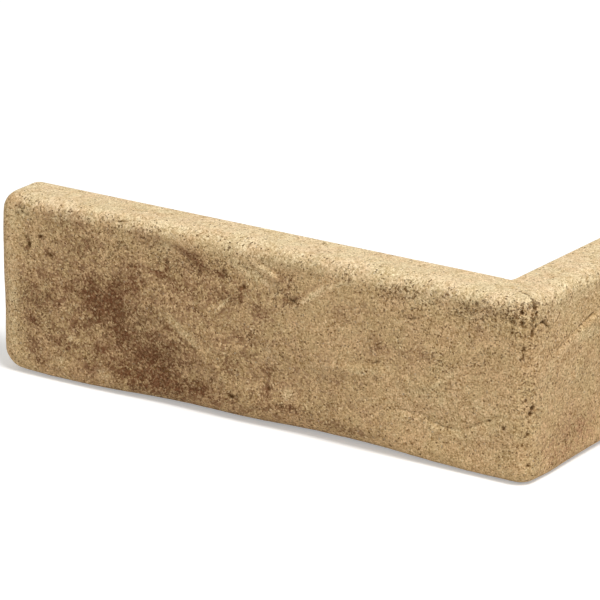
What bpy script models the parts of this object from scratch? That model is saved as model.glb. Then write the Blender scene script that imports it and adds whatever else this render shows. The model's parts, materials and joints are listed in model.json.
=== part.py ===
# Corner brick slip, cast in one piece from sand concrete. Two thin legs meet at a right angle and
# dress the outer corner of a wall. The outer faces are struck by hand, so they are waved and folded,
# and the arrises round them are worn unevenly. The backs, the beds and the two ends are flat.
#
# The frame is in metres with +Z up, and the slip stands on its lower bed. The origin is the middle
# of its box, on the floor. +X runs along the long leg to the outer corner, whose upright edge is at
# the box's +X and -Y side. The long leg's outer face looks to -Y and the short leg's to +X.

import math
from collections import namedtuple

import bmesh
import bpy
from mathutils import Matrix, Vector

# Overall sizes
LONG_LEG = 0.215
SHORT_LEG = 0.1025
HEIGHT = 0.065
THICKNESS = 0.018

# Rounded edges. The corners are always rounder than the arris that runs over them.
ARRIS_RADIUS = 0.0055
ARRIS_SEGMENTS = 5
CORNER_RADIUS = ARRIS_RADIUS + 0.001
CORNER_SEGMENTS = 5
LOWER_END_RADIUS = ARRIS_RADIUS + 0.0035
UPPER_END_RADIUS = ARRIS_RADIUS + 0.001
END_SEGMENTS = 6

# The struck faces
FACE_PITCH = 0.0032  # spacing of the grid that carries the waves
GRID_CLEARANCE = 0.001  # the grid stays this far from the rounded corners of the ends
FACE_SET_BACK = 0.0008  # how far the plain face lies behind its highest folds
FACE_FADE = 0.009  # the waves die out over this distance from the beds and ends
WAVE_HEIGHT = 0.00025
WAVE_LENGTH = 0.061
WAVE_SLOPE = 0.047

# Each fold's middle is measured along the face from the upright outer edge, minus on the long leg
# and plus on the short one, and up from the lower bed. It is a ridge, or a hollow where its rise is
# minus, and it falls off over one width on its upper side and another on its lower side.
Fold = namedtuple("Fold", "along up tilt length upper lower rise")
FOLDS = (
    Fold(along=-0.190, up=0.034, tilt=75, length=0.030, upper=0.010, lower=0.014, rise=0.0006),
    Fold(along=-0.165, up=0.043, tilt=20, length=0.034, upper=0.010, lower=0.014, rise=-0.0008),
    Fold(along=-0.134, up=0.025, tilt=-27, length=0.020, upper=0.016, lower=0.005, rise=0.0013),
    Fold(along=-0.152, up=0.015, tilt=-12, length=0.026, upper=0.008, lower=0.010, rise=-0.0009),
    Fold(along=-0.114, up=0.055, tilt=6, length=0.024, upper=0.012, lower=0.009, rise=-0.0012),
    Fold(along=-0.081, up=0.052, tilt=29, length=0.018, upper=0.004, lower=0.014, rise=0.0013),
    Fold(along=-0.095, up=0.018, tilt=8, length=0.028, upper=0.010, lower=0.010, rise=-0.0009),
    Fold(along=-0.060, up=0.030, tilt=78, length=0.012, upper=0.009, lower=0.005, rise=0.0007),
    Fold(along=-0.036, up=0.037, tilt=28, length=0.024, upper=0.005, lower=0.010, rise=0.0009),
    Fold(along=-0.036, up=0.016, tilt=-3, length=0.022, upper=0.004, lower=0.008, rise=-0.0007),
    Fold(along=0.000, up=0.030, tilt=88, length=0.026, upper=0.009, lower=0.009, rise=0.0009),
    Fold(along=0.029, up=0.042, tilt=9, length=0.022, upper=0.004, lower=0.012, rise=0.0011),
    Fold(along=0.048, up=0.018, tilt=-14, length=0.024, upper=0.008, lower=0.012, rise=-0.0009),
    Fold(along=0.073, up=0.035, tilt=-38, length=0.022, upper=0.005, lower=0.013, rise=0.0012),
    Fold(along=0.084, up=0.052, tilt=12, length=0.020, upper=0.009, lower=0.008, rise=-0.0008),
)

# Each worn stretch of an arris has its middle, how far it reaches to either side, and how much
# deeper than the plain arris it goes there, or how much less deep where it stayed sharper. Beside a
# bed the middle is a place along the face. On the upright arrises of the two ends it is a height.
Wear = namedtuple("Wear", "middle reach extra")
LOWER_WEAR = (
    Wear(middle=-0.212, reach=0.022, extra=0.0018),
    Wear(middle=-0.135, reach=0.045, extra=0.0050),
    Wear(middle=-0.094, reach=0.020, extra=0.0013),
    Wear(middle=-0.074, reach=0.058, extra=0.0070),
    Wear(middle=0.013, reach=0.024, extra=-0.0022),
    Wear(middle=0.060, reach=0.032, extra=0.0016),
)
UPPER_WEAR = (
    Wear(middle=-0.212, reach=0.026, extra=0.0018),
    Wear(middle=-0.118, reach=0.036, extra=0.0034),
    Wear(middle=-0.052, reach=0.030, extra=0.0012),
    Wear(middle=0.066, reach=0.026, extra=0.0018),
)
END_WEAR = (Wear(middle=0.012, reach=0.040, extra=0.0026),)
WEAR_ON_THE_FACE = 0.6  # wear grows less over the face than into the bed or the end
END_WEAR_FADE = 0.024  # the skin is drawn along over this distance from a worn end
LEAST_BED = 0.004  # flat left on a bed or an end where the arris is worn most

SMOOTH_ANGLE = math.radians(35)
TINY = 1e-6

SLIP_NAME = "corner_brick_slip"
CONCRETE_COLOUR = (0.42, 0.28, 0.15, 1.0)
CONCRETE_ROUGHNESS = 0.92

outer_x = LONG_LEG / 2
outer_y = -SHORT_LEG / 2
turn_centre = Vector((outer_x - CORNER_RADIUS, outer_y + CORNER_RADIUS))


def clear_scene():
    for obj in list(bpy.data.objects):
        bpy.data.objects.remove(obj)


def concrete_material():
    material = bpy.data.materials.new("sand_concrete")
    material.use_nodes = True
    shader = material.node_tree.nodes["Principled BSDF"]
    shader.inputs["Base Color"].default_value = CONCRETE_COLOUR
    shader.inputs["Roughness"].default_value = CONCRETE_ROUGHNESS
    shader.inputs["Metallic"].default_value = 0.0
    return material


def pull_out_leg(bm, direction, length):
    """Extrudes the face that looks this way by the length."""
    face = max(bm.faces, key=lambda f: f.calc_center_median().dot(direction))
    pulled = bmesh.ops.extrude_discrete_faces(bm, faces=[face])["faces"]
    bmesh.ops.translate(bm, verts=list(pulled[0].verts), vec=direction * length)


def l_shaped_block():
    """The square-edged slip: a corner block with a leg pulled out of two of its sides."""
    bm = bmesh.new()
    size = Matrix.Diagonal((THICKNESS, THICKNESS, HEIGHT, 1))
    middle = Vector((outer_x - THICKNESS / 2, outer_y + THICKNESS / 2, HEIGHT / 2))
    bmesh.ops.create_cube(bm, size=1, matrix=Matrix.Translation(middle) @ size)
    pull_out_leg(bm, Vector((-1, 0, 0)), LONG_LEG - THICKNESS)
    pull_out_leg(bm, Vector((0, 1, 0)), SHORT_LEG - THICKNESS)
    bmesh.ops.dissolve_limit(bm, angle_limit=TINY, verts=bm.verts, edges=bm.edges)
    return bm


def bevel_edges(bm, edges, radius, segments):
    return bmesh.ops.bevel(
        bm,
        geom=edges,
        offset=radius,
        offset_type="OFFSET",
        segments=segments,
        profile=0.5,
        affect="EDGES",
        clamp_overlap=False,
        loop_slide=True,
        material=-1,
    )


def at_end(vert):
    return vert.co.x < -outer_x + TINY or vert.co.y > -outer_y - TINY


def round_end_corners(bm, height, radius):
    """Rounds the corner of each end at this height, right through the thickness."""
    corners = [v for v in bm.verts if at_end(v) and abs(v.co.z - height) < TINY]
    edges = [e for e in bm.edges if all(v in corners for v in e.verts)]
    bevel_edges(bm, edges, radius, END_SEGMENTS)


def round_outer_corner(bm):
    """Rounds the upright edge where the two outer faces meet."""
    on_edge = [v for v in bm.verts if v.co.x > outer_x - TINY and v.co.y < outer_y + TINY]
    edges = [e for e in bm.edges if all(v in on_edge for v in e.verts)]
    bevel_edges(bm, edges, CORNER_RADIUS, CORNER_SEGMENTS)


def faces_outward(face):
    """True for the two outer faces and the round between them."""
    level = abs(face.normal.z) < TINY
    centre = face.calc_center_median()
    in_front = centre.y < outer_y + CORNER_RADIUS and face.normal.y < -TINY
    at_side = centre.x > outer_x - CORNER_RADIUS and face.normal.x > TINY
    return level and (in_front or at_side)


def round_arris(bm):
    """Rounds the edge all round the outer faces, and returns the layer that marks their skin."""
    bm.normal_update()
    skin = bm.faces.layers.int.new("skin")
    outer = {face for face in bm.faces if faces_outward(face)}
    for face in outer:
        face[skin] = 1
    rim = [e for e in bm.edges if len(outer.intersection(e.link_faces)) == 1]
    for face in bevel_edges(bm, rim, ARRIS_RADIUS, ARRIS_SEGMENTS)["faces"]:
        face[skin] = 1
    return skin


def cut_skin(bm, skin, place, normal, keep):
    """Cuts the skin faces that keep() accepts along one plane."""
    faces = [face for face in bm.faces if face[skin] and keep(face.calc_center_median())]
    edges = {edge for face in faces for edge in face.edges}
    verts = {vert for face in faces for vert in face.verts}
    geometry = faces + list(edges) + list(verts)
    bmesh.ops.bisect_plane(bm, geom=geometry, dist=TINY, plane_co=place, plane_no=normal)


def even_places(low, high):
    """Places from low to high, about one pitch apart."""
    steps = max(1, round((high - low) / FACE_PITCH))
    return [low + (high - low) * i / steps for i in range(steps + 1)]


def grid_skin(bm, skin):
    """Cuts a grid into the skin alone, so that the beds, backs and ends stay whole. It keeps clear
    of the rounded corners of the ends, so that it cuts no slivers off them."""
    lower_clear = LOWER_END_RADIUS + GRID_CLEARANCE
    upper_clear = UPPER_END_RADIUS + GRID_CLEARANCE
    for x in even_places(-outer_x + lower_clear, turn_centre.x):
        cut_skin(bm, skin, (x, 0, 0), (1, 0, 0), lambda c: c.x < turn_centre.x)
    for y in even_places(turn_centre.y, -outer_y - lower_clear):
        cut_skin(bm, skin, (0, y, 0), (0, 1, 0), lambda c: c.y > turn_centre.y)
    for z in even_places(lower_clear, HEIGHT - upper_clear):
        cut_skin(bm, skin, (0, 0, z), (0, 0, 1), lambda c: True)


def smooth_step(x):
    x = min(1, max(0, x))
    return x * x * (3 - 2 * x)


def hump(x):
    """1 at 0, falling smoothly to 0 at plus and minus 1."""
    return math.cos(x * math.pi / 2) ** 2 if abs(x) < 1 else 0


def place_on_face(co):
    """How far round the face a point is, how deep behind it, how far from its leg's end, and the
    face's outward direction there."""
    half_turn = CORNER_RADIUS * math.pi / 4
    across = co.xy - turn_centre
    if across.x < 0:
        return across.x - half_turn, co.y - outer_y, co.x + outer_x, Vector((0, -1, 0))
    if across.y > 0:
        return across.y + half_turn, outer_x - co.x, -outer_y - co.y, Vector((1, 0, 0))
    turned = math.atan2(across.x, -across.y) - math.pi / 4
    out = across.normalized().to_3d()
    return turned * CORNER_RADIUS, CORNER_RADIUS - across.length, math.inf, out


def fold_rise(fold, along, up):
    """How far this fold lifts the face at this place."""
    tilt = math.radians(fold.tilt)
    right = along - fold.along
    above = up - fold.up
    lengthwise = right * math.cos(tilt) + above * math.sin(tilt)
    crosswise = above * math.cos(tilt) - right * math.sin(tilt)
    width = fold.upper if crosswise > 0 else fold.lower
    return fold.rise * math.exp(-((lengthwise / fold.length) ** 2) - (crosswise / width) ** 2)


def face_depth(along, up):
    """How far the struck face lies behind its highest folds."""
    wave = WAVE_HEIGHT * math.sin(2 * math.pi * (along / WAVE_LENGTH + up / WAVE_SLOPE))
    rise = wave + sum(fold_rise(fold, along, up) for fold in FOLDS)
    return max(0, FACE_SET_BACK - rise)


def extra_wear(wears, place):
    """How much deeper than the plain arris it is worn at this place along it."""
    extra = sum(w.extra * hump((place - w.middle) / w.reach) for w in wears)
    return min(extra, THICKNESS - LEAST_BED - ARRIS_RADIUS)


def rim_shift(distance, extra, fade):
    """How far wear moves a skin point away from the rim at this distance: more and more across
    the arris, and from there less and less up to the fade distance."""
    extra *= WEAR_ON_THE_FACE
    if distance < ARRIS_RADIUS:
        return extra * distance / ARRIS_RADIUS
    return extra * max(0, fade - distance) / (fade - ARRIS_RADIUS)


def wear_point(along, depth, to_end, up):
    """The depth, the distance from the leg's end and the height of a skin point once it is worn."""
    lower = up < HEIGHT / 2
    from_bed = up if lower else HEIGHT - up
    radius = LOWER_END_RADIUS if lower else UPPER_END_RADIUS
    bed_extra = extra_wear(LOWER_WEAR if lower else UPPER_WEAR, along)
    end_extra = extra_wear(END_WEAR, up)
    if to_end < radius and from_bed < radius:
        across = Vector((radius - to_end, radius - from_bed))
        turned = math.atan2(across.x, across.y) / (math.pi / 2)
        extra = bed_extra + turned * (end_extra - bed_extra)
        from_rim = radius - across.length
        shift = across.normalized() * rim_shift(from_rim, extra, HEIGHT / 2)
    else:
        from_rim = min(from_bed, to_end)
        extra = bed_extra if from_bed < to_end else end_extra
        from_end = rim_shift(to_end, end_extra, END_WEAR_FADE)
        shift = Vector((from_end, rim_shift(from_bed, bed_extra, HEIGHT / 2)))
    if from_rim < ARRIS_RADIUS:
        depth *= (ARRIS_RADIUS + extra) / ARRIS_RADIUS
    from_bed += shift.y
    return depth, to_end + shift.x, from_bed if lower else HEIGHT - from_bed


def strike_faces(bm, skin):
    """Wears the arrises and gives the outer faces their folds, always inward from the plain face."""
    for vert in {vert for face in bm.faces if face[skin] for vert in face.verts}:
        along, depth, to_end, out = place_on_face(vert.co)
        worn_depth, worn_to_end, up = wear_point(along, depth, to_end, vert.co.z)
        from_end = worn_to_end - to_end if to_end < END_WEAR_FADE else 0
        fade = smooth_step(min(up, HEIGHT - up) / FACE_FADE) * smooth_step(worn_to_end / FACE_FADE)
        inward = worn_depth - depth + fade * face_depth(along, up)
        rightwards = Vector((0, 0, 1)).cross(out)
        vert.co -= out * inward + rightwards * math.copysign(from_end, along)
        vert.co.z = up


def finish_mesh(bm):
    mesh = bpy.data.meshes.new(SLIP_NAME)
    bmesh.ops.recalc_face_normals(bm, faces=bm.faces)
    bm.to_mesh(mesh)
    bm.free()
    mesh.shade_smooth()
    mesh.set_sharp_from_angle(angle=SMOOTH_ANGLE)
    return mesh


def cast_slip(collection):
    bm = l_shaped_block()
    round_end_corners(bm, 0, LOWER_END_RADIUS)
    round_end_corners(bm, HEIGHT, UPPER_END_RADIUS)
    round_outer_corner(bm)
    skin = round_arris(bm)
    grid_skin(bm, skin)
    strike_faces(bm, skin)
    slip = bpy.data.objects.new(SLIP_NAME, finish_mesh(bm))
    slip.data.materials.append(concrete_material())
    collection.objects.link(slip)


def main():
    clear_scene()
    parts = bpy.data.collections.new("corner brick slip")
    bpy.context.scene.collection.children.link(parts)
    cast_slip(parts)


main()
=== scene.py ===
import json
import math

import bmesh
import bpy
from mathutils import Matrix, Vector, noise


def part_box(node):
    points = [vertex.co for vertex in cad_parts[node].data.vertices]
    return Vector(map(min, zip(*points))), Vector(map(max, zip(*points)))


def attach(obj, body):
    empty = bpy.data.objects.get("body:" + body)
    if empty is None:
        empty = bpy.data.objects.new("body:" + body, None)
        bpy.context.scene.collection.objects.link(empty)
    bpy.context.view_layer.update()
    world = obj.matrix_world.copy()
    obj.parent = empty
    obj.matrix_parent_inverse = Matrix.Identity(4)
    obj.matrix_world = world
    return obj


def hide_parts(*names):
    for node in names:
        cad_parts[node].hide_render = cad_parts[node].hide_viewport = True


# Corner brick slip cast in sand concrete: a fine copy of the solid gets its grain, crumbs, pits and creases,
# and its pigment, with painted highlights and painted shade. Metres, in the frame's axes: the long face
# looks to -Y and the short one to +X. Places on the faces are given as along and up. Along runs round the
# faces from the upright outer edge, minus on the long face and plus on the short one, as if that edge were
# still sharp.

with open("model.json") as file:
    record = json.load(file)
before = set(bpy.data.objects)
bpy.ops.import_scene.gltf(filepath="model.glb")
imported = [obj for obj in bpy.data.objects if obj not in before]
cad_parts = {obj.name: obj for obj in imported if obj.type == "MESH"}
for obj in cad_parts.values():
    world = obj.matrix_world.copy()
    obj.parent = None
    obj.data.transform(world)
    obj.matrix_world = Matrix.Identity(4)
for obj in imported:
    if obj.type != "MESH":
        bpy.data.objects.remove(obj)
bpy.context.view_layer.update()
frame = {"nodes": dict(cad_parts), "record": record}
slipNode = "corner_brick_slip"
low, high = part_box(slipNode)
mountPlace = {mount["name"]: mount["pos_m"] for mount in frame["record"]["mounts"]}
thickness = mountPlace["long_back"][1] - low.y
slipHeight = high.z - low.z
cornerRadius = 0.0065  # of the upright outer corner, between the two faces
turnX, turnY = high.x - cornerRadius, low.y + cornerRadius
spotDepth = 0.012  # how far behind a face its spots reach


# Measuring helpers

def smoothStep(start, end, value):
    x = min(1, max(0, (value - start) / (end - start)))
    return x * x * (3 - 2 * x)


def placeOnFace(co):  # along, depth behind the outer face, distance from the leg's end, way out
    if co.x > turnX and co.y < turnY:
        across = Vector((co.x - turnX, co.y - turnY, 0))
        turned = math.atan2(across.x, -across.y) / (math.pi / 4) - 1
        return turned * cornerRadius, cornerRadius - across.length, high.y - co.y, across.normalized()
    if high.x - co.x < co.y - low.y:
        return co.y - low.y, high.x - co.x, high.y - co.y, Vector((1, 0, 0))
    return co.x - high.x, co.y - low.y, co.x - low.x, Vector((0, -1, 0))


def spotStrength(spots, along, up):  # what some soft oval spots leave here together
    bare = 1
    for spotAlong, spotUp, length, width, tilt, strength in spots:
        right, above = along - spotAlong, up - spotUp
        if abs(right) < 2 * max(length, width):  # farther away a spot leaves nothing
            cosTilt, sinTilt = math.cos(math.radians(tilt)), math.sin(math.radians(tilt))
            lengthwise = (right * cosTilt + above * sinTilt) / length
            crosswise = (above * cosTilt - right * sinTilt) / width
            bare *= 1 - strength * math.exp(-(lengthwise ** 2 + crosswise ** 2) ** 1.5)
    return 1 - bare


def lineDepthAt(lines, along, up):  # how deep creases cut here, or how high ridges stand, at most
    most = 0
    for width, depth, path in lines:
        here = Vector((along, up))
        for start, end in zip(path, path[1:]):
            start, run = Vector(start), Vector(end) - Vector(start)
            share = min(1, max(0, (here - start).dot(run) / run.length_squared))
            away = (here - start - run * share).length
            if away < width:
                most = max(most, depth * (1 - smoothStep(0, width, away)))
    return most


# Cast surface

castSettings = {
    "seed": 7,  # of the noise that bends the clods
    "mergeGap": 0.000001,
    "cell": 0.0012,  # even cells of the whole solid; the seen sides get half of it
    # The seen sides: down from the upper bed, behind the outer faces, and above the foot
    "seenBed": 0.0020, "seenDepth": 0.0100, "seenFoot": 0.0015,
    "softening": 5,  # smoothing passes, over all but a strip along the backs
    "backStrip": 0.0030,
    # Which places face outwards: the normal's lean to the way out, and the depth behind the face
    "facing": (0.02, 0.35), "facingDepth": 0.014, "facingLeast": 0.05,
    # Grain, whose fractal has a falloff, a step and a number of layers, then lumps and raggedness
    "grainSize": 0.0017, "grainHeight": 0.00009, "grainFractal": (0.8, 2.2, 2),
    "lumpSize": 0.0060, "lumpHeight": 0.00016, "raggedSize": 0.0008,
    # Crumbled arrises: clods, the bent crevices between them, open here and there, and clumps
    "crumbledLeast": 0.02,
    "clodSize": 0.0034, "clodBend": 0.35, "clodBendSize": 0.0016,
    "creviceWidth": 0.16, "creviceDepth": 0.0011, "creviceOpen": (-0.1, 0.3), "creviceOpenSize": 0.0045,
    "clumpSize": 0.0048, "clumpDepth": 0.0006, "clumpShift": 3.1,
    # Pores: the share of the cells that have one, times the parts of the bed, the faces and the
    # crumbs, and their radius, times the least scale and what is added to it
    "poreSpacing": 0.0030, "poreShare": 0.30, "poreShares": (0.3, 0.5, 1.2), "poreSeed": 7.31,
    "poreRadius": 0.00062, "poreScales": (0.6, 0.8), "poreDepth": 0.00055, "poreFloor": 0.2,
    # Holes: where the floor ends and the rim lies, in their radii
    "holeRaggedness": 0.45, "holeRim": (0.4, 1.35),
    # How the creases and ridges swing with the lumps, and how the bed's cracks break up
    "creaseSwing": 1.5, "ridgeSwing": 1.2, "crackShare": 0.9, "crackRaggedness": 2.4, "crackZone": 0.004,
    # Painted shade inside the hollows: the pits' depth at which it is fully dark, and the creases' and
    # cracks' part
    "darkDepth": 0.0009, "creaseDarkness": 0.6, "crackDarkness": 1.3,
    # The cream skin under the upper bed: its lower line, which rises towards the ends
    "skinLine": 0.0048, "skinSwing": 0.0020, "skinSwingSize": 0.016, "skinEndRise": 0.004,
    "skinEndReach": 0.012,
    # how soft that line is on the far left, how much softer farther on, and how it wavers
    "skinBlend": 0.0022, "skinBlendMore": 0.0040, "skinBlendAlong": (-0.155, -0.120),
    "skinRaggedness": 0.0010, "skinWaver": 0.0014, "skinWaverSize": 0.0024,
    # and the part of the skin that is gone from the bed's edge on, more of it on the left
    "skinEarly": 0.25, "skinEarlyMore": 0.2, "skinEarlyAlong": (-0.150, -0.110), "skinEarlyReach": 0.002,
    # Where the arrises crumbled: along, up, half length, half width, tilt, strength
    "crumbled": (
        (-0.013, 0.0590, 0.014, 0.0030, 0, 0.45), (0.003, 0.0590, 0.010, 0.0080, 0, 0.80),
        (-0.002, 0.0480, 0.006, 0.0060, 0, 0.60), (0.000, 0.0330, 0.004, 0.0150, 0, 0.40),
        (-0.001, 0.0140, 0.003, 0.0080, 0, 0.30), (-0.055, 0.0585, 0.020, 0.0030, 0, 0.30),
        (-0.205, 0.0600, 0.006, 0.0050, 0, 0.60), (-0.115, 0.0060, 0.010, 0.0040, 0, 0.35),
        (-0.170, 0.0600, 0.016, 0.0035, 0, 0.25), (0.094, 0.0550, 0.010, 0.0100, 0, 0.45),
        (0.060, 0.0600, 0.020, 0.0040, 0, 0.35), (-0.100, 0.0590, 0.010, 0.0030, 0, 0.35),
    ),
    # Single holes: along, up, radius across, radius up, depth
    "holes": (
        (-0.0029, 0.0605, 0.0012, 0.0009, 0.0012), (0.0051, 0.0600, 0.0014, 0.0006, 0.0010),
        (0.0024, 0.0533, 0.0010, 0.0015, 0.0013), (-0.0074, 0.0531, 0.0009, 0.0006, 0.0008),
        (0.0105, 0.0553, 0.0008, 0.0005, 0.0007), (0.0047, 0.0557, 0.0012, 0.0004, 0.0006),
        (-0.0050, 0.0481, 0.0009, 0.0004, 0.0006), (-0.0022, 0.0474, 0.0008, 0.0006, 0.0008),
        (-0.0036, 0.0491, 0.0005, 0.0005, 0.0006), (-0.0030, 0.0440, 0.0006, 0.0006, 0.0007),
        (-0.0020, 0.0370, 0.0006, 0.0006, 0.0006), (0.0028, 0.0360, 0.0007, 0.0006, 0.0006),
        (0.0000, 0.0302, 0.0006, 0.0010, 0.0008), (0.0040, 0.0272, 0.0016, 0.0009, 0.0014),
        (0.0026, 0.0252, 0.0014, 0.0009, 0.0013), (-0.0097, 0.0196, 0.0008, 0.0010, 0.0009),
        (-0.0155, 0.0210, 0.0008, 0.0005, 0.0007), (-0.0067, 0.0170, 0.0006, 0.0006, 0.0006),
        (0.0015, 0.0183, 0.0014, 0.0006, 0.0008), (-0.0012, 0.0145, 0.0007, 0.0006, 0.0007),
        (0.0022, 0.0072, 0.0012, 0.0006, 0.0009), (-0.0390, 0.0244, 0.0008, 0.0006, 0.0006),
        (-0.0342, 0.0178, 0.0006, 0.0006, 0.0006), (-0.0602, 0.0585, 0.0006, 0.0009, 0.0005),
        (-0.0665, 0.0558, 0.0007, 0.0006, 0.0007), (-0.1063, 0.0594, 0.0009, 0.0006, 0.0005),
        (-0.1180, 0.0089, 0.0015, 0.0007, 0.0013), (-0.1150, 0.0080, 0.0006, 0.0005, 0.0006),
        (-0.2022, 0.0476, 0.0008, 0.0014, 0.0010), (-0.2035, 0.0500, 0.0007, 0.0008, 0.0006),
        (-0.1972, 0.0514, 0.0009, 0.0007, 0.0008), (-0.2062, 0.0606, 0.0010, 0.0012, 0.0006),
        (-0.1932, 0.0455, 0.0012, 0.0008, 0.0007), (-0.0935, 0.0479, 0.0020, 0.0007, 0.0003),
        (-0.0960, 0.0487, 0.0010, 0.0007, 0.0003), (-0.0217, 0.0603, 0.0012, 0.0005, 0.0005),
        (-0.0080, 0.0568, 0.0008, 0.0006, 0.0008), (-0.1030, 0.0145, 0.0009, 0.0008, 0.0007),
        (-0.0975, 0.0092, 0.0010, 0.0006, 0.0006), (-0.1135, 0.0486, 0.0009, 0.0007, 0.0007),
        (-0.1600, 0.0474, 0.0012, 0.0005, 0.0006), (-0.1450, 0.0512, 0.0006, 0.0010, 0.0006),
        (0.0220, 0.0256, 0.0007, 0.0005, 0.0005), (0.0415, 0.0420, 0.0010, 0.0005, 0.0005),
        (0.0652, 0.0377, 0.0011, 0.0006, 0.0008), (0.0808, 0.0492, 0.0007, 0.0008, 0.0007),
        (0.0905, 0.0131, 0.0009, 0.0007, 0.0009), (0.0961, 0.0420, 0.0006, 0.0010, 0.0008),
        (0.0724, 0.0118, 0.0012, 0.0006, 0.0007), (0.0958, 0.0545, 0.0009, 0.0008, 0.0009),
    ),
    # Creases in the faces: width, depth, then their places
    "creases": (
        (0.0009, 0.0007, ((0.0034, 0.0550), (0.0069, 0.0558), (0.0103, 0.0558), (0.0143, 0.0524),
                          (0.0155, 0.0514))),
        (0.0009, 0.00040, ((-0.0600, 0.0100), (-0.0580, 0.0130), (-0.0550, 0.0165), (-0.0510, 0.0180),
                           (-0.0460, 0.0175), (-0.0420, 0.0180), (-0.0380, 0.0160), (-0.0340, 0.0150),
                           (-0.0260, 0.0153), (-0.0220, 0.0175), (-0.0180, 0.0200), (-0.0150, 0.0210))),
        (0.0008, 0.00050, ((-0.0690, 0.0315), (-0.0610, 0.0320), (-0.0585, 0.0332))),
        (0.0008, 0.00040, ((-0.0616, 0.0327), (-0.0603, 0.0290), (-0.0593, 0.0263))),
        (0.0010, 0.00040, ((-0.1000, 0.0500), (-0.0940, 0.0476), (-0.0895, 0.0492))),
        (0.0008, 0.00040, ((-0.0515, 0.0508), (-0.0470, 0.0502), (-0.0415, 0.0520))),
        (0.0007, 0.00050, ((-0.1979, 0.0491), (-0.1942, 0.0476), (-0.1923, 0.0448))),
        (0.0008, 0.00070, ((-0.1703, 0.0610), (-0.1666, 0.0624), (-0.1617, 0.0636))),
        (0.0009, 0.00066, ((0.0185, 0.0430), (0.0230, 0.0449), (0.0307, 0.0470), (0.0385, 0.0487),
                           (0.0463, 0.0505), (0.0540, 0.0500))),
        (0.0009, 0.00050, ((0.0640, 0.0235), (0.0690, 0.0275), (0.0750, 0.0290), (0.0830, 0.0325),
                           (0.0880, 0.0330))),
    ),
    # Small folds that stand out of the faces: half width, height, then their places
    "ridges": (
        (0.0019, 0.00110, ((-0.0905, 0.0474), (-0.0880, 0.0488), (-0.0852, 0.0513), (-0.0815, 0.0530),
                           (-0.0784, 0.0558))),
        (0.0016, 0.00060, ((-0.0770, 0.0545), (-0.0725, 0.0573), (-0.0680, 0.0590))),
        (0.0030, 0.00075, ((-0.0800, 0.0270), (-0.0700, 0.0285), (-0.0580, 0.0300))),
        (0.0026, 0.00055, ((-0.0480, 0.0280), (-0.0380, 0.0290), (-0.0300, 0.0340), (-0.0260, 0.0390),
                           (-0.0200, 0.0440), (-0.0140, 0.0470))),
        (0.0022, 0.00060, ((-0.1510, 0.0365), (-0.1444, 0.0325), (-0.1400, 0.0286), (-0.1350, 0.0268),
                           (-0.1300, 0.0225), (-0.1229, 0.0168))),
        (0.0020, 0.00060, ((-0.1440, 0.0305), (-0.1370, 0.0300), (-0.1310, 0.0285), (-0.1230, 0.0290))),
        (0.0020, 0.00055, ((-0.1280, 0.0335), (-0.1220, 0.0405), (-0.1170, 0.0450), (-0.1150, 0.0480))),
        (0.0018, 0.00045, ((-0.1230, 0.0250), (-0.1150, 0.0262), (-0.1080, 0.0270))),
        (0.0020, 0.00085, ((-0.1105, 0.0583), (-0.1075, 0.0568), (-0.1040, 0.0560), (-0.1000, 0.0540))),
        (0.0030, 0.00060, ((-0.0580, 0.0085), (-0.0550, 0.0130), (-0.0500, 0.0150), (-0.0420, 0.0150),
                           (-0.0360, 0.0125), (-0.0260, 0.0125), (-0.0180, 0.0165))),
        (0.0030, 0.00080, ((0.0200, 0.0405), (0.0260, 0.0425), (0.0320, 0.0443), (0.0390, 0.0458),
                           (0.0450, 0.0470), (0.0540, 0.0465))),
        (0.0024, 0.00045, ((0.0300, 0.0300), (0.0340, 0.0345), (0.0360, 0.0390))),
        (0.0028, 0.00060, ((0.0620, 0.0210), (0.0690, 0.0250), (0.0760, 0.0262), (0.0860, 0.0305))),
    ),
    # Cracks in the upper bed: width, depth, then X and Y from the sharp outer corner
    "bedCracks": (
        (0.0011, 0.0007, ((-0.0128, 0.0105), (-0.0069, 0.0083), (-0.0016, 0.0060), (-0.0008, 0.0036))),
        (0.0007, 0.0006, ((-0.0909, 0.0151), (-0.0863, 0.0129))),
        (0.0007, 0.0005, ((-0.0710, 0.0089), (-0.0649, 0.0079))),
        (0.0008, 0.0007, ((-0.0520, 0.0139), (-0.0504, 0.0133))),
        (0.0008, 0.0006, ((-0.0290, 0.0086), (-0.0280, 0.0084))),
        (0.0006, 0.0005, ((-0.0100, 0.0220), (-0.0085, 0.0280), (-0.0090, 0.0380))),
    ),
}


def bakeModifiers(piece):
    graph = bpy.context.evaluated_depsgraph_get()
    piece.data = bpy.data.meshes.new_from_object(piece.evaluated_get(graph))
    piece.modifiers.clear()


def newPiece(name, bm):
    mesh = bpy.data.meshes.new(name)
    bm.to_mesh(mesh)
    bm.free()
    piece = bpy.data.objects.new(name, mesh)
    bpy.context.scene.collection.objects.link(piece)
    return piece


def isSeenSide(face, settings):  # the outer faces, their arrises and the upper bed
    place = face.calc_center_median()
    onBed = place.z > high.z - settings["seenBed"]
    return onBed or placeOnFace(place)[1] < settings["seenDepth"] and place.z > settings["seenFoot"]


def makeFineCopy(nodeName, settings):
    bm = bmesh.new()
    bm.from_mesh(frame["nodes"][nodeName].data)
    bmesh.ops.remove_doubles(bm, verts=bm.verts, dist=settings["mergeGap"])
    slip = newPiece("castSlip", bm)
    remesh = slip.modifiers.new("evenCells", "REMESH")
    remesh.mode = "VOXEL"
    remesh.voxel_size = settings["cell"]
    bakeModifiers(slip)
    bm = bmesh.new()
    bm.from_mesh(slip.data)
    seenEdges = {edge for face in bm.faces if isSeenSide(face, settings) for edge in face.edges}
    bmesh.ops.subdivide_edges(bm, edges=list(seenEdges), cuts=1, use_grid_fill=True, use_single_edge=True)
    bm.to_mesh(slip.data)
    bm.free()
    wrap = slip.modifiers.new("ontoSolid", "SHRINKWRAP")
    wrap.target = frame["nodes"][nodeName]
    bakeModifiers(slip)
    return slip


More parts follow.
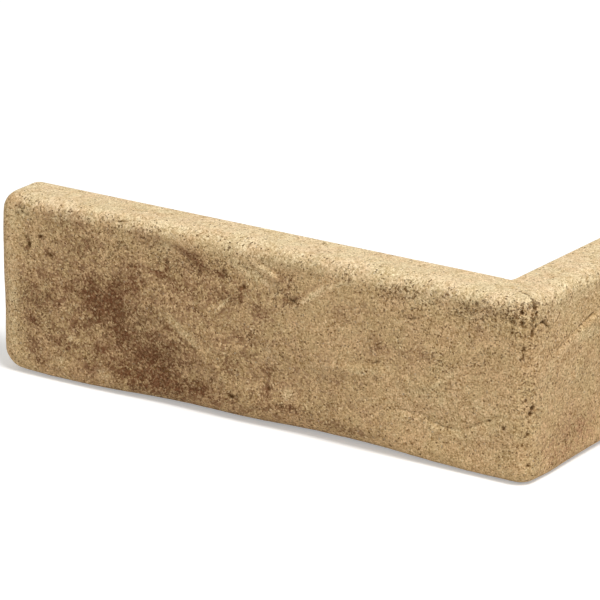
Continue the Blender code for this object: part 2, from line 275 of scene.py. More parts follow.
def softenFaces(bm, settings):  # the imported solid's small facets run together
    front = [v for v in bm.verts if placeOnFace(v.co)[1] < thickness - settings["backStrip"]]
    for _ in range(settings["softening"]):
        bmesh.ops.smooth_vert(bm, verts=front, factor=0.5, use_axis_x=True, use_axis_y=True, use_axis_z=True)


def grainDepthAt(co, lump, facing, settings):  # sand grain, and on the faces low lumps
    grain = 0.5 + 0.5 * noise.fractal(co / settings["grainSize"], *settings["grainFractal"])
    cut = settings["grainHeight"] * max(0, grain) * (0.5 + 0.5 * facing)
    return cut + settings["lumpHeight"] * (0.5 + 0.5 * lump) * facing


def poreDepthAt(co, share, settings):  # scattered pores, one at most in each cell
    distances, centres = noise.voronoi(co / settings["poreSpacing"])
    chance = 0.5 + 0.5 * noise.cell(centres[0] * settings["poreSeed"])
    if chance > share:
        return 0
    least, more = settings["poreScales"]
    radius = settings["poreRadius"] * (least + more * chance / share)
    away = distances[0] * settings["poreSpacing"] / radius
    return settings["poreDepth"] * (1 - smoothStep(settings["poreFloor"], 1, away))


def creviceDepthAt(co, settings):  # the gaps between crumbled clods
    bend = settings["clodBend"] * noise.noise_vector(co / settings["clodBendSize"])
    nearest, second = noise.voronoi(co / settings["clodSize"] + bend)[0][:2]
    gap = second - nearest
    openness = smoothStep(*settings["creviceOpen"], noise.noise(co / settings["creviceOpenSize"]))
    return settings["creviceDepth"] * openness * (1 - smoothStep(0, settings["creviceWidth"], gap))


def crumbDepthAt(co, crumbled, facing, settings):  # crevices and clumps of a crumbled arris, and pores
    cut = 0
    if crumbled > settings["crumbledLeast"]:
        clump = max(0, noise.noise(co / settings["clumpSize"] + Vector((settings["clumpShift"], 0, 0))))
        cut += crumbled * (creviceDepthAt(co, settings) + settings["clumpDepth"] * clump)
    onBed, onFaces, onCrumbs = settings["poreShares"]
    share = settings["poreShare"] * (onBed + onFaces * facing + onCrumbs * crumbled)
    return cut + poreDepthAt(co, share, settings)


def holeDepthAt(along, up, ragged, settings):
    floor, rim = settings["holeRim"]
    cut = 0
    for holeAlong, holeUp, across, tall, depth in settings["holes"]:
        away = math.hypot((along - holeAlong) / across, (up - holeUp) / tall)
        away += settings["holeRaggedness"] * ragged
        if away < rim:
            cut = max(cut, depth * (1 - smoothStep(floor, rim, away)))
    return cut


def struckShareAt(co, along, toEnd, fromTop, ragged, settings):  # how much of the cream skin is gone
    line = settings["skinLine"] + settings["skinSwing"] * noise.noise(co / settings["skinSwingSize"])
    line -= settings["skinEndRise"] * (1 - smoothStep(0, settings["skinEndReach"], toEnd))
    onRight = smoothStep(*settings["skinBlendAlong"], along)
    blend = settings["skinBlend"] + settings["skinBlendMore"] * onRight
    below = fromTop + settings["skinRaggedness"] * ragged
    below += settings["skinWaver"] * noise.noise(co / settings["skinWaverSize"])
    onLeft = 1 - smoothStep(*settings["skinEarlyAlong"], along)
    early = settings["skinEarly"] + settings["skinEarlyMore"] * onLeft
    share = early * smoothStep(0, settings["skinEarlyReach"], below)
    return share + (1 - early) * smoothStep(line - blend, line + blend, below)


def carvingAt(co, normal, settings):  # how deep the cast surface is cut here, how much shade is painted in it, how far struck
    along, depth, toEnd, out = placeOnFace(co)
    up = co.z - low.z
    fromTop = slipHeight - up
    facing = smoothStep(*settings["facing"], normal.dot(out)) if depth < settings["facingDepth"] else 0
    ragged = noise.noise(co / settings["raggedSize"])
    lump = noise.noise(co / settings["lumpSize"])
    crumbled = spotStrength(settings["crumbled"], along, up) if depth < spotDepth else 0
    cut = grainDepthAt(co, lump, facing, settings)
    pit = crumbDepthAt(co, crumbled, facing, settings)
    crease, crack = 0, 0
    if facing > settings["facingLeast"]:
        pit = max(pit, holeDepthAt(along, up, ragged, settings))
        broken = max(0, 1 + settings["creaseSwing"] * lump + ragged)
        crease = lineDepthAt(settings["creases"], along, up) * broken
        cut -= lineDepthAt(settings["ridges"], along, up) * (1 + settings["ridgeSwing"] * lump)
    if fromTop < settings["crackZone"]:
        broken = max(0, settings["crackShare"] + settings["crackRaggedness"] * ragged)
        crack = lineDepthAt(settings["bedCracks"], co.x - high.x, co.y - low.y) * broken
    # painted shade in the hollows, darker where the pits, creases and cracks are deeper
    dark = pit + settings["creaseDarkness"] * crease + settings["crackDarkness"] * crack
    struck = facing * struckShareAt(co, along, toEnd, fromTop, ragged, settings)
    return cut + pit + crease + crack, min(1, dark / settings["darkDepth"]), struck


def carveCast(slip, settings):
    noise.seed_set(settings["seed"])  # else the clock would set it
    bm = bmesh.new()
    bm.from_mesh(slip.data)
    softenFaces(bm, settings)
    bm.normal_update()
    # point masks: the painted shade of the hollows, and how far the cream skin is struck
    hollow = bm.verts.layers.float.new("hollow")
    struck = bm.verts.layers.float.new("struck")
    cuts = []
    for vert in bm.verts:
        cut, vert[hollow], vert[struck] = carvingAt(vert.co, vert.normal, settings)
        cuts.append(cut)
    for vert, cut in zip(bm.verts, cuts):  # nothing leaves the solid's box
        vert.co -= vert.normal * cut
        vert.co = [min(most, max(least, part)) for least, most, part in zip(low, high, vert.co)]
    bm.to_mesh(slip.data)
    bm.free()


# Pigment, painted highlights and painted shade, and pores of the struck faces:
# along, up, half length, half width, tilt, strength

paintSettings = {
    "brownAndShade": (
        # broad washes
        (-0.1790, 0.0280, 0.0360, 0.0360, 0, 0.43), (-0.1280, 0.0260, 0.0340, 0.0340, 0, 0.36),
        (-0.0850, 0.0200, 0.0250, 0.0180, 0, 0.24), (-0.1100, 0.0050, 0.0600, 0.0060, 0, 0.24),
        (-0.0550, 0.0450, 0.0500, 0.0110, 0, 0.12),
        # the stain under the middle of the left third, and its two feet
        (-0.1735, 0.0330, 0.0060, 0.0065, 0, 0.48), (-0.1655, 0.0335, 0.0045, 0.0080, 0, 0.46),
        (-0.1820, 0.0345, 0.0070, 0.0022, -10, 0.30), (-0.1600, 0.0405, 0.0045, 0.0030, -20, 0.30),
        (-0.1735, 0.0265, 0.0035, 0.0030, 0, 0.35), (-0.1630, 0.0255, 0.0050, 0.0035, -40, 0.14),
        (-0.1770, 0.0397, 0.0030, 0.0020, 0, 0.32), (-0.1575, 0.0310, 0.0025, 0.0018, 0, 0.30),
        # the stain below it, down to the lower arris
        (-0.1505, 0.0165, 0.0100, 0.0044, 0, 0.48), (-0.1420, 0.0218, 0.0050, 0.0022, 20, 0.42),
        (-0.1610, 0.0215, 0.0045, 0.0035, 0, 0.35), (-0.1640, 0.0105, 0.0060, 0.0035, 0, 0.34),
        (-0.1530, 0.0080, 0.0110, 0.0055, 0, 0.46), (-0.1410, 0.0085, 0.0080, 0.0055, 0, 0.27),
        (-0.1305, 0.0095, 0.0055, 0.0032, 0, 0.42), (-0.1710, 0.0150, 0.0035, 0.0025, 0, 0.42),
        (-0.1350, 0.0180, 0.0050, 0.0040, 0, 0.16), (-0.1750, 0.0080, 0.0035, 0.0025, 0, 0.26),
        # small spots
        (-0.1385, 0.0567, 0.0045, 0.0015, -20, 0.48), (-0.1337, 0.0550, 0.0036, 0.0024, -50, 0.48),
        (-0.1305, 0.0527, 0.0026, 0.0018, -30, 0.38), (-0.1232, 0.0518, 0.0026, 0.0016, -12, 0.42),
        (-0.1450, 0.0510, 0.0014, 0.0025, 0, 0.45), (-0.1475, 0.0470, 0.0045, 0.0015, -5, 0.46),
        (-0.1590, 0.0476, 0.0040, 0.0011, 5, 0.40), (-0.1570, 0.0430, 0.0040, 0.0030, 0, 0.26),
        (-0.1135, 0.0485, 0.0018, 0.0014, 0, 0.40), (-0.1140, 0.0448, 0.0012, 0.0018, 0, 0.36),
        (-0.1120, 0.0315, 0.0050, 0.0035, 0, 0.26), (-0.1325, 0.0375, 0.0015, 0.0025, 0, 0.26),
        (-0.1450, 0.0340, 0.0015, 0.0018, 0, 0.30), (-0.1440, 0.0290, 0.0020, 0.0012, 0, 0.28),
        (-0.1995, 0.0207, 0.0030, 0.0013, -20, 0.45), (-0.2000, 0.0125, 0.0032, 0.0030, 0, 0.26),
        (-0.1958, 0.0065, 0.0025, 0.0030, 0, 0.36), (-0.1930, 0.0460, 0.0025, 0.0016, -30, 0.42),
        (-0.1900, 0.0150, 0.0038, 0.0014, 0, 0.36), (-0.1845, 0.0138, 0.0012, 0.0014, 0, 0.36),
        (-0.2022, 0.0485, 0.0014, 0.0030, 0, 0.35), (-0.1972, 0.0513, 0.0014, 0.0010, 0, 0.35),
        (-0.2062, 0.0605, 0.0020, 0.0020, 0, 0.55), (-0.1870, 0.0100, 0.0040, 0.0020, 30, 0.15),
        (-0.1028, 0.0205, 0.0026, 0.0040, 0, 0.25), (-0.1030, 0.0130, 0.0026, 0.0030, 0, 0.28),
        (-0.0950, 0.0092, 0.0080, 0.0018, 0, 0.25), (-0.0700, 0.0062, 0.0130, 0.0018, 0, 0.28),
        (-0.0940, 0.0480, 0.0046, 0.0020, 10, 0.42), (-0.0970, 0.0555, 0.0035, 0.0020, -15, 0.34),
        (-0.0600, 0.0395, 0.0050, 0.0030, 0, 0.22), (-0.0420, 0.0390, 0.0050, 0.0020, 0, 0.24),
        (-0.0750, 0.0235, 0.0150, 0.0016, 3, 0.16), (-0.0780, 0.0135, 0.0028, 0.0018, 0, 0.30),
        (-0.0610, 0.0325, 0.0030, 0.0010, 5, 0.28), (-0.0530, 0.0575, 0.0050, 0.0018, 0, 0.26),
        (-0.0465, 0.0508, 0.0050, 0.0010, 8, 0.28), (-0.0150, 0.0585, 0.0110, 0.0022, 0, 0.28),
        (-0.1730, 0.0115, 0.0040, 0.0030, 0, 0.26), (-0.1800, 0.0235, 0.0050, 0.0035, 0, 0.24),
        (-0.1830, 0.0145, 0.0040, 0.0022, 0, 0.22), (-0.1860, 0.0600, 0.0095, 0.0035, 0, 0.44),
        (-0.1520, 0.0605, 0.0080, 0.0028, 0, 0.26), (-0.2040, 0.0475, 0.0030, 0.0030, 0, 0.22),
        (-0.1050, 0.0410, 0.0060, 0.0030, 0, 0.24), (-0.1400, 0.0445, 0.0030, 0.0025, 0, 0.26),
        (-0.1190, 0.0440, 0.0040, 0.0025, 0, 0.20), (-0.1180, 0.0195, 0.0070, 0.0030, 0, 0.22),
        (-0.1250, 0.0480, 0.0300, 0.0070, 0, 0.22), (-0.0580, 0.0345, 0.0130, 0.0045, 0, 0.18),
        (-0.0580, 0.0140, 0.0130, 0.0050, 0, 0.18), (-0.1480, 0.0580, 0.0090, 0.0030, 0, 0.25),
        (-0.1810, 0.0510, 0.0090, 0.0050, 0, 0.24), (-0.1990, 0.0300, 0.0130, 0.0110, 0, 0.17),
        (-0.1660, 0.0215, 0.0040, 0.0040, 0, 0.26), (-0.1510, 0.0240, 0.0030, 0.0025, 0, 0.30),
        (-0.0985, 0.0520, 0.0065, 0.0025, 0, 0.25), (-0.0660, 0.0510, 0.0060, 0.0030, 0, 0.20),
        (-0.0205, 0.0505, 0.0050, 0.0040, 0, 0.26), (-0.0740, 0.0463, 0.0040, 0.0040, 0, 0.24),
        (-0.0465, 0.0375, 0.0070, 0.0035, 0, 0.20),
        # (-0.1052, 0.0584), (-0.0856, 0.0535) and (-0.1378, 0.0264) lie beside pale ridge lines of the same
        # tilt: painted shade of those ridges
        (-0.2010, 0.0075, 0.0050, 0.0030, 0, 0.26), (-0.1052, 0.0584, 0.0065, 0.0010, -19, 0.46),
        (-0.0856, 0.0535, 0.0065, 0.0011, 35, 0.32), (-0.1378, 0.0264, 0.0095, 0.0016, -34, 0.15),
        # the short leg's far half
        (0.0690, 0.0440, 0.0150, 0.0070, -14, 0.26), (0.0760, 0.0395, 0.0045, 0.0028, 0, 0.34),
        (0.0640, 0.0475, 0.0040, 0.0025, 20, 0.36), (0.0890, 0.0105, 0.0080, 0.0045, 0, 0.34),
    ),
    "red": (
        (0.0270, 0.0105, 0.0180, 0.0125, 12, 0.42), (0.0430, 0.0105, 0.0090, 0.0050, 0, 0.28),
        (0.0790, 0.0170, 0.0150, 0.0090, -12, 0.50), (-0.1360, 0.0060, 0.0180, 0.0050, 0, 0.30),
    ),
    "paleAndHighlight": (
        # pale patches, and painted highlights: the thin tilted lines along the ridges and the long bands
        # along the upper arris
        (-0.1700, 0.0066, 0.0038, 0.0022, 0, 0.42), (-0.1880, 0.0080, 0.0040, 0.0025, 0, 0.45),
        (-0.1840, 0.0170, 0.0010, 0.0012, 0, 0.70), (-0.2095, 0.0260, 0.0035, 0.0260, 0, 0.50),
        (-0.1055, 0.0567, 0.0055, 0.0012, -19, 0.85), (-0.0836, 0.0523, 0.0080, 0.0013, 35, 0.80),
        (-0.0870, 0.0480, 0.0022, 0.0020, 0, 0.50), (-0.0950, 0.0140, 0.0023, 0.0023, 0, 0.80),
        (-0.0728, 0.0577, 0.0050, 0.0012, 22, 0.66), (-0.0600, 0.0610, 0.0600, 0.0022, 0, 0.50),
        (-0.1372, 0.0288, 0.0110, 0.0018, -34, 0.52), (-0.1220, 0.0405, 0.0075, 0.0008, 48, 0.50),
        (-0.0650, 0.0285, 0.0080, 0.0016, 6, 0.36), (-0.0320, 0.0325, 0.0110, 0.0009, 40, 0.36),
        (0.0370, 0.0440, 0.0120, 0.0025, 0, 0.36), (-0.0300, 0.0200, 0.0300, 0.0120, 0, 0.36),
        (-0.2040, 0.0595, 0.0045, 0.0030, 0, 0.66), (-0.1005, 0.0600, 0.0075, 0.0028, 0, 0.60),
        (-0.0450, 0.0585, 0.0075, 0.0034, 0, 0.62), (-0.1110, 0.0546, 0.0120, 0.0026, -17, 0.64),
        (0.0250, 0.0590, 0.0300, 0.0040, 0, 0.50), (-0.1450, 0.0565, 0.0060, 0.0030, 0, 0.40),
        (-0.1030, 0.0265, 0.0040, 0.0040, 0, 0.32), (-0.0340, 0.0365, 0.0030, 0.0030, 0, 0.38),
        (-0.0250, 0.0560, 0.0150, 0.0030, 0, 0.34), (-0.2080, 0.0560, 0.0030, 0.0050, 0, 0.30),
        (-0.1230, 0.0600, 0.0200, 0.0024, 0, 0.34), (-0.0825, 0.0262, 0.0070, 0.0035, 0, 0.30),
        (0.0150, 0.0340, 0.0060, 0.0090, 0, 0.20), (0.0290, 0.0370, 0.0280, 0.0260, 0, 0.24),
    ),
    "porous": (
        (-0.0130, 0.0585, 0.0120, 0.0035, 0, 0.80), (-0.0530, 0.0575, 0.0080, 0.0030, 0, 0.75),
        (-0.0460, 0.0510, 0.0060, 0.0016, 8, 0.60), (-0.0500, 0.0575, 0.0500, 0.0045, 0, 0.45),
        (-0.1300, 0.0530, 0.0250, 0.0060, 0, 0.70), (-0.1700, 0.0530, 0.0250, 0.0080, 0, 0.60),
        (-0.0950, 0.0500, 0.0080, 0.0060, 20, 0.75), (-0.1650, 0.0330, 0.0180, 0.0140, 0, 0.75),
        (-0.1450, 0.0120, 0.0220, 0.0100, 0, 0.80), (-0.1980, 0.0250, 0.0120, 0.0160, 0, 0.60),
        (0.0000, 0.0330, 0.0055, 0.0300, 0, 0.75), (-0.0600, 0.0390, 0.0070, 0.0040, 0, 0.60),
        (0.0290, 0.0110, 0.0200, 0.0080, 0, 0.60), (0.0700, 0.0550, 0.0240, 0.0080, 0, 0.80),
        (-0.0850, 0.0110, 0.0120, 0.0040, 0, 0.55), (-0.1120, 0.0310, 0.0060, 0.0050, 0, 0.50),
        (0.0000, 0.0560, 0.0120, 0.0100, 0, 0.90), (-0.0200, 0.0560, 0.0200, 0.0030, 0, 0.40),
        (-0.0300, 0.0420, 0.0280, 0.0170, 0, 0.50), (0.0270, 0.0380, 0.0230, 0.0190, 0, 0.40),
    ),
}


def paintFaces(slip, settings):
    places = [(*placeOnFace(vert.co)[:2], vert.co.z - low.z) for vert in slip.data.vertices]
    for name, spots in settings.items():
        mask = slip.data.attributes.new(name, "FLOAT", "POINT")
        values = [spotStrength(spots, along, up) if depth < spotDepth else 0 for along, depth, up in places]
        mask.data.foreach_set("value", values)


# Materials

def addNode(tree, kind, inputs=None, **settings):
    node = tree.nodes.new(kind)
    for name, value in settings.items():
        setattr(node, name, value)
    for name, value in (inputs or {}).items():
        if isinstance(value, bpy.types.NodeSocket):
            tree.links.new(value, node.inputs[name])
        else:
            node.inputs[name].default_value = value
    return node


def addMath(tree, operation, *values):
    return addNode(tree, "ShaderNodeMath", dict(enumerate(values)), operation=operation).outputs[0]


def addMix(tree, amount, first, second, blend="MIX"):
    inputs = {0: amount, 6: first, 7: second}
    return addNode(tree, "ShaderNodeMix", inputs, data_type="RGBA", blend_type=blend).outputs[2]


def addRange(tree, value, fromLow, fromHigh, toLow=0.0, toHigh=1.0, kind="SMOOTHSTEP"):
    inputs = {"Value": value, "From Min": fromLow, "From Max": fromHigh, "To Min": toLow, "To Max": toHigh}
    return addNode(tree, "ShaderNodeMapRange", inputs, interpolation_type=kind).outputs[0]


def addNoise(tree, place, size, detail, roughness, distortion):
    inputs = {"Vector": place, "Scale": 1 / size, "Detail": detail, "Roughness": roughness,
              "Distortion": distortion}
    return addNode(tree, "ShaderNodeTexNoise", inputs).outputs["Fac"]


def addMask(tree, name):
    return addNode(tree, "ShaderNodeAttribute", attribute_name=name).outputs["Fac"]


def screenColour(red, green, blue):  # a colour as a screen shows it, from 0 to 255
    parts = [part / 255 for part in (red, green, blue)]
    return (*[p / 12.92 if p <= 0.04045 else ((p + 0.055) / 1.055) ** 2.4 for p in parts], 1.0)


def makeBrokenPatch():  # a soft mask broken up grain by grain
    group = bpy.data.node_groups.new("brokenPatch", "ShaderNodeTree")
    for name in ("Mask", "Grain", "Reach", "Softness"):
        group.interface.new_socket(name, in_out="INPUT", socket_type="NodeSocketFloat")
    group.interface.new_socket("Amount", in_out="OUTPUT", socket_type="NodeSocketFloat")
    given = group.nodes.new("NodeGroupInput").outputs
    spread = addMath(group, "MULTIPLY", addMath(group, "SUBTRACT", given["Grain"], 0.5), given["Reach"])
    level = addMath(group, "ADD", given["Mask"], spread)
    start = addMath(group, "SUBTRACT", 0.5, given["Softness"])
    end = addMath(group, "ADD", 0.5, given["Softness"])
    amount = addRange(group, level, start, end)
    group.links.new(amount, group.nodes.new("NodeGroupOutput").inputs["Amount"])
    return group


concreteSettings = {
    "cream": screenColour(235, 211, 170), "warmCream": screenColour(219, 188, 139),
    "warmRange": (0.42, 0.66), "warmShare": 0.55,
    "oliveTint": (0.980, 0.993, 0.965, 1.0), "rosyTint": (1.010, 0.977, 0.975, 1.0),
    "tintRange": (0.35, 0.65),
    # The faces' sand, where the cream skin is struck off, and their pigment with painted highlights and
    # shade, laid in
    # this order: colour, how far the grains break it up, softness of its edge
    "struckSand": (screenColour(200, 168, 123), 0.80, 0.32),
    "pigmentAndPaintedLight": {
        "red": (screenColour(168, 122, 88), 1.10, 0.36),
        # the brown also paints the shade beside three ridges
        "brownAndShade": (screenColour(106, 66, 37), 1.20, 0.36),
        # the pale colour also paints the highlights on the ridges and the upper arris
        "paleAndHighlight": (screenColour(216, 190, 146), 1.10, 0.36),
    },
    # Stray grains, light and cold: colour, a range of random values and what its ends give, strength
    "strayGrains": (
        (screenColour(226, 203, 160), (0.90, 0.94, 0.0, 1.0), 0.42),
        (screenColour(140, 132, 122), (0.0, 0.016, 1.0, 0.0), 0.50),
    ),
    # Noise: size, detail, roughness, distortion. The first sizes are in grains, the others in metres
    "grainSize": 0.00062,
    "grainNoise": {"fine": (0.8, 2.0, 0.7, 0.0), "specks": (1.9, 3.0, 0.62, 0.8),
                   "mottle": (5.0, 3.0, 0.6, 0.0)},
    "broadNoise": {"cloud": (0.016, 4.0, 0.6, 0.0), "warmth": (0.0042, 4.0, 0.7, 0.0),
                   "tint": (0.0085, 3.0, 0.6, 0.0)},
    # What breaks up the patches: each grain's own value, the mottle and the fine noise
    "grainyShares": (0.34, 0.38, 0.28), "mottleRange": (0.25, 0.75), "fineRange": (0.2, 0.8),
    # Tone of the sand, less of it on the smooth bed, and how far red, green and blue follow it
    "grainTone": 0.66, "noiseTones": {"fine": 2.20, "mottle": 0.40, "cloud": 0.20},
    "bedTone": 0.8, "toneShares": (0.86, 1.0, 1.25),
    # Pores: how open the surface is, more at the seam of the cream skin and less on the bed
    "porousCloud": (0.35, 0.65, -0.1, 0.3), "porousSeam": 1.6, "porousShare": (0.13, 0.03),
    "porousBed": (0.0, 0.3, 0.4, 1.0),
    # Painted shade in the pores: its colour and share, the ragged pores' line and edge, then the round dots
    "shadedPore": screenColour(110, 72, 28), "poreShadeShare": 0.82, "speckLine": 0.71, "speckEdge": 0.10,
    "dotSize": 2.1, "dotShare": (2.6, 0.20), "dotOpen": (-0.06, 0.0, 1.0, 0.0),
    "dotRaggedness": 0.5, "dotRim": (0.36, 0.58, 1.0, 0.0),
    # Painted shade in the carved holes, creases and cracks: its colour, share, raggedness and range
    "hollow": screenColour(98, 64, 22), "hollowShare": 0.80, "hollowRaggedness": 1.2,
    "hollowRange": (0.30, 0.80),
    "roughness": (0.84, 0.98), "specular": 0.25,
    "bumpHeight": 0.00032, "domeRim": 0.8, "domeShare": 0.45,
}


def addSand(tree, settings):  # grains with random values of their own, and noise at several sizes
    place = addNode(tree, "ShaderNodeTexCoord").outputs["Object"]
    size = settings["grainSize"]
    grains = addNode(tree, "ShaderNodeTexVoronoi", {"Vector": place, "Scale": 1 / size}).outputs
    dotScale = 1 / (size * settings["dotSize"])
    dots = addNode(tree, "ShaderNodeTexVoronoi", {"Vector": place, "Scale": dotScale}).outputs
    sand = {
        "random": addNode(tree, "ShaderNodeSeparateColor", {0: grains["Color"]}).outputs,
        "fromGrain": grains["Distance"],
        "dotChance": addNode(tree, "ShaderNodeSeparateColor", {0: dots["Color"]}).outputs[0],
        "fromDot": dots["Distance"],
    }
    for name, (grainCount, *rest) in settings["grainNoise"].items():
        sand[name] = addNoise(tree, place, size * grainCount, *rest)
    for name, values in settings["broadNoise"].items():
        sand[name] = addNoise(tree, place, *values)
    return sand


def addGrainy(tree, sand, settings):  # the value from 0 to 1 that breaks up the patches
    ownShare, mottleShare, fineShare = settings["grainyShares"]
    own = addMath(tree, "MULTIPLY", sand["random"][0], ownShare)
    mottle = addRange(tree, sand["mottle"], *settings["mottleRange"], 0.0, mottleShare, "LINEAR")
    fine = addRange(tree, sand["fine"], *settings["fineRange"], 0.0, fineShare, "LINEAR")
    return addMath(tree, "ADD", addMath(tree, "ADD", own, mottle), fine)


def addPatch(tree, colour, mask, grainy, patch, brokenPatch, within=1.0):  # a second colour over the first
    patchColour, reach, softness = patch
    inputs = {"Mask": mask, "Grain": grainy, "Reach": reach, "Softness": softness}
    amount = addNode(tree, "ShaderNodeGroup", inputs, node_tree=brokenPatch).outputs["Amount"]
    return addMix(tree, addMath(tree, "MULTIPLY", amount, within), colour, patchColour)


def addSandColour(tree, sand, struck, settings, brokenPatch):  # cream skin, struck sand, and pigment with painted highlights and painted shade
    warm = addRange(tree, sand["warmth"], *settings["warmRange"])
    warm = addMath(tree, "MULTIPLY", warm, settings["warmShare"])
    colour = addMix(tree, warm, settings["cream"], settings["warmCream"])
    grainy = addGrainy(tree, sand, settings)
    colour = addPatch(tree, colour, struck, grainy, settings["struckSand"], brokenPatch)
    for grainColour, valueRange, strength in settings["strayGrains"]:
        amount = addMath(tree, "MULTIPLY", addRange(tree, sand["random"][2], *valueRange), strength)
        colour = addMix(tree, amount, colour, grainColour)
    # pigment patches; the pale one also paints highlights, and the brown one the shade beside ridges
    for name, patch in settings["pigmentAndPaintedLight"].items():
        colour = addPatch(tree, colour, addMask(tree, name), grainy, patch, brokenPatch, struck)
    tintShare = addRange(tree, sand["tint"], *settings["tintRange"])
    tint = addMix(tree, tintShare, settings["oliveTint"], settings["rosyTint"])
    return addMix(tree, 1.0, colour, tint, "MULTIPLY")


def addTone(tree, colour, sand, struck, settings):  # lighter and darker grains
    contrast = addRange(tree, struck, 0.0, 1.0, settings["bedTone"], 1.0, "LINEAR")
    own = addMath(tree, "SUBTRACT", sand["random"][1], 0.5)
    tone = addMath(tree, "MULTIPLY", own, settings["grainTone"])
    for name, strength in settings["noiseTones"].items():
        part = addMath(tree, "MULTIPLY", addMath(tree, "SUBTRACT", sand[name], 0.5), strength)
        tone = addMath(tree, "ADD", tone, part)
    tone = addMath(tree, "MULTIPLY_ADD", tone, contrast, 1.0)
    parts = {index: addMath(tree, "MULTIPLY_ADD", tone, share, 1 - share)
             for index, share in enumerate(settings["toneShares"])}
    toneColour = addNode(tree, "ShaderNodeCombineColor", parts).outputs[0]
    return addMix(tree, 1.0, colour, toneColour, "MULTIPLY")


def addPorosity(tree, sand, struck, settings):  # how open the surface is
    cloud = addRange(tree, sand["cloud"], *settings["porousCloud"])
    porous = addMath(tree, "ADD", addMask(tree, "porous"), cloud)
    seam = addMath(tree, "MULTIPLY", struck, addMath(tree, "SUBTRACT", 1.0, struck))
    porous = addMath(tree, "MULTIPLY_ADD", seam, settings["porousSeam"], porous)
    porous = addMath(tree, "MULTIPLY_ADD", porous, *settings["porousShare"])
    onBed = addRange(tree, struck, *settings["porousBed"], "LINEAR")
    return addMath(tree, "MULTIPLY", porous, onBed)


def addShadedPores(tree, sand, porous, settings):  # pores between the grains, ragged ones and round dots, painted dark as their shade
    line = addMath(tree, "SUBTRACT", settings["speckLine"], porous)
    ragged = addRange(tree, sand["specks"], line, addMath(tree, "ADD", line, settings["speckEdge"]))
    dotShare = addMath(tree, "MULTIPLY_ADD", porous, *settings["dotShare"])
    dotOpen = addRange(tree, addMath(tree, "SUBTRACT", sand["dotChance"], dotShare), *settings["dotOpen"])
    dotEdge = addMath(tree, "MULTIPLY_ADD", sand["fine"], settings["dotRaggedness"], sand["fromDot"])
    dot = addMath(tree, "MULTIPLY", addRange(tree, dotEdge, *settings["dotRim"]), dotOpen)
    return addMath(tree, "MAXIMUM", ragged, dot)


def addHollowShade(tree, sand, settings):  # painted shade inside the carved holes, creases and cracks
    fine = addMath(tree, "SUBTRACT", sand["fine"], 0.5)
    hollow = addMath(tree, "MULTIPLY_ADD", fine, settings["hollowRaggedness"], addMask(tree, "hollow"))
    hollow = addRange(tree, hollow, *settings["hollowRange"])
    return addMath(tree, "MULTIPLY", hollow, settings["hollowShare"])


def addGrainBump(tree, sand, shadedPore, settings):  # each grain is a low dome, and the pores are sunk
    dome = addRange(tree, sand["fromGrain"], 0.0, settings["domeRim"], 1.0, 0.0, "LINEAR")
    height = addMath(tree, "MULTIPLY_ADD", dome, settings["domeShare"], sand["fine"])
    height = addMath(tree, "SUBTRACT", height, shadedPore)
    inputs = {"Height": height, "Strength": 1.0, "Distance": settings["bumpHeight"]}
    return addNode(tree, "ShaderNodeBump", inputs).outputs["Normal"]


def makeConcrete(settings):
    material = bpy.data.materials.new("sandConcrete")
    material.use_nodes = True
    tree = material.node_tree
    shader = tree.nodes["Principled BSDF"]
    sand = addSand(tree, settings)
    struck = addMask(tree, "struck")
    colour = addSandColour(tree, sand, struck, settings, makeBrokenPatch())
    colour = addTone(tree, colour, sand, struck, settings)
    shadedPore = addShadedPores(tree, sand, addPorosity(tree, sand, struck, settings), settings)
    # painted shade in the pores
    poreShadeAmount = addMath(tree, "MULTIPLY", shadedPore, settings["poreShadeShare"])
    colour = addMix(tree, poreShadeAmount, colour, settings["shadedPore"])
    # painted shade in the carved hollows
    colour = addMix(tree, addHollowShade(tree, sand, settings), colour, settings["hollow"])
    tree.links.new(colour, shader.inputs["Base Color"])
    roughness = addRange(tree, sand["fine"], *settings["fineRange"], *settings["roughness"], "LINEAR")
    tree.links.new(roughness, shader.inputs["Roughness"])
    shader.inputs["Specular IOR Level"].default_value = settings["specular"]
    tree.links.new(addGrainBump(tree, sand, shadedPore, settings), shader.inputs["Normal"])
    return material


# Stage, light and camera

stageSettings = {
    "floorSize": 12.0,
    "floorColour": (0.80, 0.80, 0.79, 1.0),
    "floorRoughness": 0.9,
    "floorLift": 0.35,  # for the camera alone, so that the pale floor looks white
    "skyColour": (1.0, 0.99, 0.975, 1.0),
    "skyStrength": 0.38,
    # name, place, aim, width, power
    "lamps": (("key", (1.84, -0.94, 3.42), (0.0, 0.0, 0.03), 1.5, 118.0),
              ("fill", (-2.20, -3.00, 1.48), (0.0, 0.0, 0.03), 1.5, 13.0)),
}

cameraSettings = {
    "azimuth": 32.724, "elevation": 18.017, "roll": 0.895,
    "distance": 1.9729,
    "target": (-0.08968, 0.0, 0.04906),  # from the foot of the upright outer edge
    "lens": 353.15, "sensor": 36.0,
    "clip": (0.05, 50.0),
}


def makeFloor(settings):
    bm = bmesh.new()
    bmesh.ops.create_grid(bm, x_segments=1, y_segments=1, size=settings["floorSize"] / 2)
    floor = newPiece("floor", bm)
    material = bpy.data.materials.new("paleFloor")
    material.use_nodes = True
    tree = material.node_tree
    shader = tree.nodes["Principled BSDF"]
    shader.inputs["Base Color"].default_value = settings["floorColour"]
    shader.inputs["Roughness"].default_value = settings["floorRoughness"]
    shader.inputs["Specular IOR Level"].default_value = 0.0
    shader.inputs["Emission Color"].default_value = (1.0, 1.0, 1.0, 1.0)
    seen = addNode(tree, "ShaderNodeLightPath").outputs["Is Camera Ray"]
    lift = addMath(tree, "MULTIPLY", seen, settings["floorLift"])
    tree.links.new(lift, shader.inputs["Emission Strength"])
    floor.data.materials.append(material)


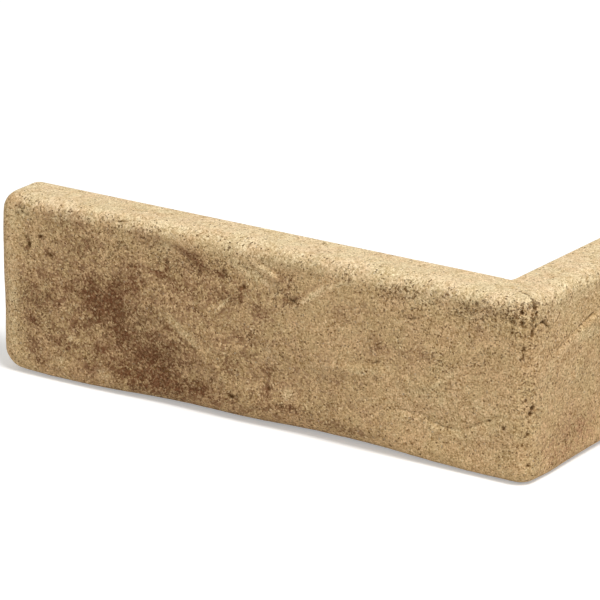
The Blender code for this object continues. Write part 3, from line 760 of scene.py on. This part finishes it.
def makeSky(settings):
    world = bpy.data.worlds.new("softStudio")
    world.use_nodes = True
    tree = world.node_tree
    light = tree.nodes["Background"]
    light.inputs["Color"].default_value = settings["skyColour"]
    light.inputs["Strength"].default_value = settings["skyStrength"]
    white = addNode(tree, "ShaderNodeBackground", {"Color": (1.0, 1.0, 1.0, 1.0), "Strength": 1.0})
    path = addNode(tree, "ShaderNodeLightPath").outputs
    seen = addMath(tree, "MAXIMUM", path["Is Camera Ray"], path["Is Glossy Ray"])
    seen = addMath(tree, "MAXIMUM", seen, path["Is Transmission Ray"])
    mix = addNode(tree, "ShaderNodeMixShader", {0: seen, 1: light.outputs[0], 2: white.outputs[0]})
    tree.links.new(mix.outputs[0], tree.nodes["World Output"].inputs["Surface"])
    bpy.context.scene.world = world


def makeLamps(settings):
    for name, place, aim, width, power in settings["lamps"]:
        lamp = bpy.data.lights.new(name, "AREA")
        lamp.shape = "SQUARE"
        lamp.size = width
        lamp.energy = power
        holder = bpy.data.objects.new(name, lamp)
        holder.location = place
        holder.rotation_euler = (Vector(aim) - Vector(place)).to_track_quat("-Z", "Y").to_euler()
        bpy.context.scene.collection.objects.link(holder)


def makeCamera(settings):
    azimuth, elevation = math.radians(settings["azimuth"]), math.radians(settings["elevation"])
    away = Vector((math.sin(azimuth) * math.cos(elevation), -math.cos(azimuth) * math.cos(elevation),
                   math.sin(elevation)))
    foot = Vector((high.x, low.y, low.z))
    camera = bpy.data.cameras.new("camera")
    camera.lens = settings["lens"]
    camera.sensor_width = settings["sensor"]
    camera.clip_start, camera.clip_end = settings["clip"]
    holder = bpy.data.objects.new("camera", camera)
    turn = (-away).to_track_quat("-Z", "Y").to_matrix().to_4x4()
    roll = Matrix.Rotation(math.radians(settings["roll"]), 4, "Z")
    place = Matrix.Translation(foot + Vector(settings["target"]) + away * settings["distance"])
    holder.matrix_world = place @ turn @ roll
    bpy.context.scene.collection.objects.link(holder)
    bpy.context.scene.camera = holder


print("copying the solid with fine cells")
slip = makeFineCopy(slipNode, castSettings)
print("carving the cast surface")
carveCast(slip, castSettings)
print("painting the faces")
paintFaces(slip, paintSettings)
slip.data.shade_smooth()
slip.data.materials.clear()
slip.data.materials.append(makeConcrete(concreteSettings))
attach(slip, "root")
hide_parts(slipNode)
slip.data.calc_loop_triangles()
print("the slip has", len(slip.data.loop_triangles), "triangles")

print("setting the stage")
makeFloor(stageSettings)
makeSky(stageSettings)
makeLamps(stageSettings)
makeCamera(cameraSettings)
bpy.context.scene.view_settings.view_transform = "Standard"
